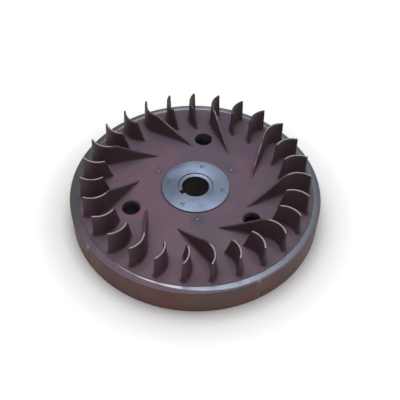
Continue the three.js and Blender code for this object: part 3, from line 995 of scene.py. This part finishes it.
def make_vane(name, node, angle, is_long):
    line = vane_line(is_long)
    level_count = len(vane_levels(0.0, 1.0))
    vertices, faces = [], []
    for level in range(level_count):
        left, far_end, right, near_end = vane_ring(line, level)
        vertices += left[:-1] + far_end + list(reversed(right[1:-1])) + near_end
    ring = len(vertices) // level_count
    for level in range(level_count - 1):
        a, b = level * ring, (level + 1) * ring
        for i in range(ring):
            k = (i + 1) % ring
            faces.append((a + k, a + i, b + i, b + k))

    count = len(line)
    ends = len(far_end)
    for base, flip in ((0, False), ((level_count - 1) * ring, True)):
        lefts = [base + i for i in range(count - 1)]
        rights = [base + count - 1 + ends + i for i in range(count - 2)][::-1]
        caps = [tuple([lefts[i], lefts[i + 1], rights[i], rights[i - 1]]) for i in range(1, count - 2)]
        caps.append(tuple([lefts[-1]] + [base + count - 1 + i for i in range(ends)] + [rights[-1]]))
        near = [base + count - 1 + ends + count - 2 + i for i in range(ends)]
        caps.append(tuple([lefts[1], rights[0]] + near + [lefts[0]]))
        faces += [tuple(reversed(cap)) if flip else cap for cap in caps]

    vane = make_piece(name, vertices, faces, crease=50)
    edge = vane.data.attributes.new("top_edge", "FLOAT", "POINT")
    top_levels = {level_count - 1: 1.0, level_count - 2: 0.5}
    falls = [entry[2] for entry in line]
    around = falls[:-1] + [falls[-1]] * ends + falls[-2:0:-1] + [falls[0]] * ends
    fade = LONG_EDGE_FADE if is_long else SHORT_EDGE_FADE
    edge.data.foreach_set("value", [
        top_levels.get(i // ring, 0.0) * max(0.0, 1 - fade * around[i % ring])
        for i in range(len(vertices))])
    root = vane.data.attributes.new("root", "FLOAT", "POINT")
    root.data.foreach_set("value", [
        1.0 - min(1.0, max(0, i // ring - 1) / ROOT_LEVELS) for i in range(len(vertices))])
    give(place(vane, polar(0, angle)), "vane_paint")
    return keep(vane, "vane_paint", node)


def make_vanes():
    pitch = 360 / VANE_COUNT
    longs = 0
    for i in range(VANE_COUNT):
        is_long = i % LONG_EVERY == 0
        longs += is_long
        node = f"vane_long_{longs}" if is_long else f"vane_short_{i + 1 - longs}"
        make_vane(node.replace("vane", "blade"), node, FIRST_VANE_ANGLE - i * pitch, is_long)


# ------------------------------------------------------------------ magnets behind the web


def make_sleeve(name, node, box, thickness, rounding, finish):
    outer, bottom, top = box[1].x, box[0].z, box[1].z
    sleeve = turned(name, softened([
        (outer - thickness, bottom, rounding), (outer, bottom, rounding),
        (outer, top, rounding), (outer - thickness, top, rounding),
    ], steps=3), segments=256)
    return keep(give(sleeve, finish), finish, node)


def make_magnets():
    outer = MAGNET[1].x
    inner = outer - MAGNET_THICKNESS
    half = math.pi / MAGNET_COUNT - MAGNET_SIDE_GAP / 2 / outer
    steps = 20
    arc = [(outer * math.cos(half * t), outer * math.sin(half * t)) for t in
           [2 * k / steps - 1 for k in range(steps + 1)]]
    arc += [(inner * math.cos(half * t), inner * math.sin(half * t)) for t in
            [1 - 2 * k / steps for k in range(steps + 1)]]
    for i in range(MAGNET_COUNT):
        magnet = prism(f"magnet_block_{i + 1}", arc, MAGNET[0].z, MAGNET[1].z)
        bevel = magnet.modifiers.new("bevel", "BEVEL")
        bevel.width = 0.5 * MM
        bevel.segments = 3
        bevel.limit_method = "ANGLE"
        applied(magnet)
        shade(magnet)
        place(magnet, polar(0, i * 360 / MAGNET_COUNT))
        keep(give(magnet, "ferrite"), "ferrite", f"magnet_{i + 1}")


# ------------------------------------------------------------------ studio


CAMERA_DISTANCE = 0.8847
CAMERA_ELEVATION = 48.5
CAMERA_ROLL = 1.33
CAMERA_LENS = 79.6
AIM = Vector((0.00463, -0.01148, RIM_EDGE))
WORLD_HORIZON = 0.28
WORLD_ZENITH = 0.5
WORLD_DARK_SIDE = 0.36
FLOOR_GLOW = 0.5
FLOOR_REACH = 8.0
LAMP_PLACE = (-0.11, 0.15, 1.6)
LAMP_SIZE = 1.3
LAMP_POWER = 18


def make_camera():
    data = bpy.data.cameras.new("camera")
    camera = bpy.data.objects.new("camera", data)
    bpy.context.scene.collection.objects.link(camera)
    elevation = math.radians(CAMERA_ELEVATION)
    eye = Vector((0, -CAMERA_DISTANCE * math.cos(elevation),
                  CAMERA_DISTANCE * math.sin(elevation) + RIM_EDGE))
    looking = (AIM - eye).to_track_quat("-Z", "Y").to_matrix().to_4x4()
    roll = Matrix.Rotation(math.radians(CAMERA_ROLL), 4, "Z")
    camera.matrix_world = Matrix.Translation(eye) @ looking @ roll
    data.lens = CAMERA_LENS
    bpy.context.scene.camera = camera


def make_floor():
    """A white floor that the camera sees washed out to white away from the object."""
    corners = [(x * FLOOR_REACH, y * FLOOR_REACH, 0) for x, y in ((-1, -1), (1, -1), (1, 1), (-1, 1))]
    floor = make_piece("floor", corners, [(0, 1, 2, 3)])
    material, tree, shader, position = start_material("floor_white")
    radius, _ = axis_parts(tree, position)
    shader.inputs["Base Color"].default_value = (0.9, 0.9, 0.9, 1)
    shader.inputs["Roughness"].default_value = 0.8
    shader.inputs["Emission Strength"].default_value = FLOOR_GLOW
    seen = tree.add("ShaderNodeLightPath").outputs["Is Camera Ray"]
    glow = tree.band(radius, 0.95 * RIM_RADIUS, 1.7 * RIM_RADIUS)
    tree.feed(shader.inputs["Emission Color"], tree.math("MULTIPLY", glow, seen))
    floor.data.materials.append(material)


def make_light(name, place_at, size, power):
    data = bpy.data.lights.new(name, "AREA")
    data.size = size
    data.energy = power
    lamp = bpy.data.objects.new(name, data)
    lamp.location = place_at
    lamp.rotation_euler = Vector(place_at).to_track_quat("Z", "Y").to_euler()
    bpy.context.scene.collection.objects.link(lamp)


def make_world():
    """A soft studio: bright overhead, darker towards the horizon and towards one side."""
    world = bpy.data.worlds.new("studio")
    world.use_nodes = True
    tree = Tree(world.node_tree)
    background = world.node_tree.nodes["Background"]
    axes = tree.add("ShaderNodeSeparateXYZ", Vector=tree.add("ShaderNodeTexCoord").outputs["Generated"])
    up = tree.band(axes.outputs["Z"], 0.0, 0.95, WORLD_HORIZON, WORLD_ZENITH)
    across = tree.band(axes.outputs["X"], -0.8, 0.6, WORLD_DARK_SIDE, 1.0)
    background.inputs["Color"].default_value = (1, 1, 1, 1)
    tree.feed(background.inputs["Strength"], tree.math("MULTIPLY", up, across))
    bpy.context.scene.world = world
    bpy.context.scene.view_settings.view_transform = "Standard"


make_camera()
make_floor()
make_world()
make_light("overhead", LAMP_PLACE, LAMP_SIZE, LAMP_POWER)

make_rim()
make_web()
make_hub()
make_vanes()
make_sleeve("magnet_ring", "magnet_carrier", CARRIER, CARRIER_THICKNESS, 0.4 * MM, "carrier_steel")
make_sleeve("keeper_sleeve", "magnet_keeper", KEEPER, KEEPER_THICKNESS, 0.2 * MM, "keeper_stainless")
make_magnets()
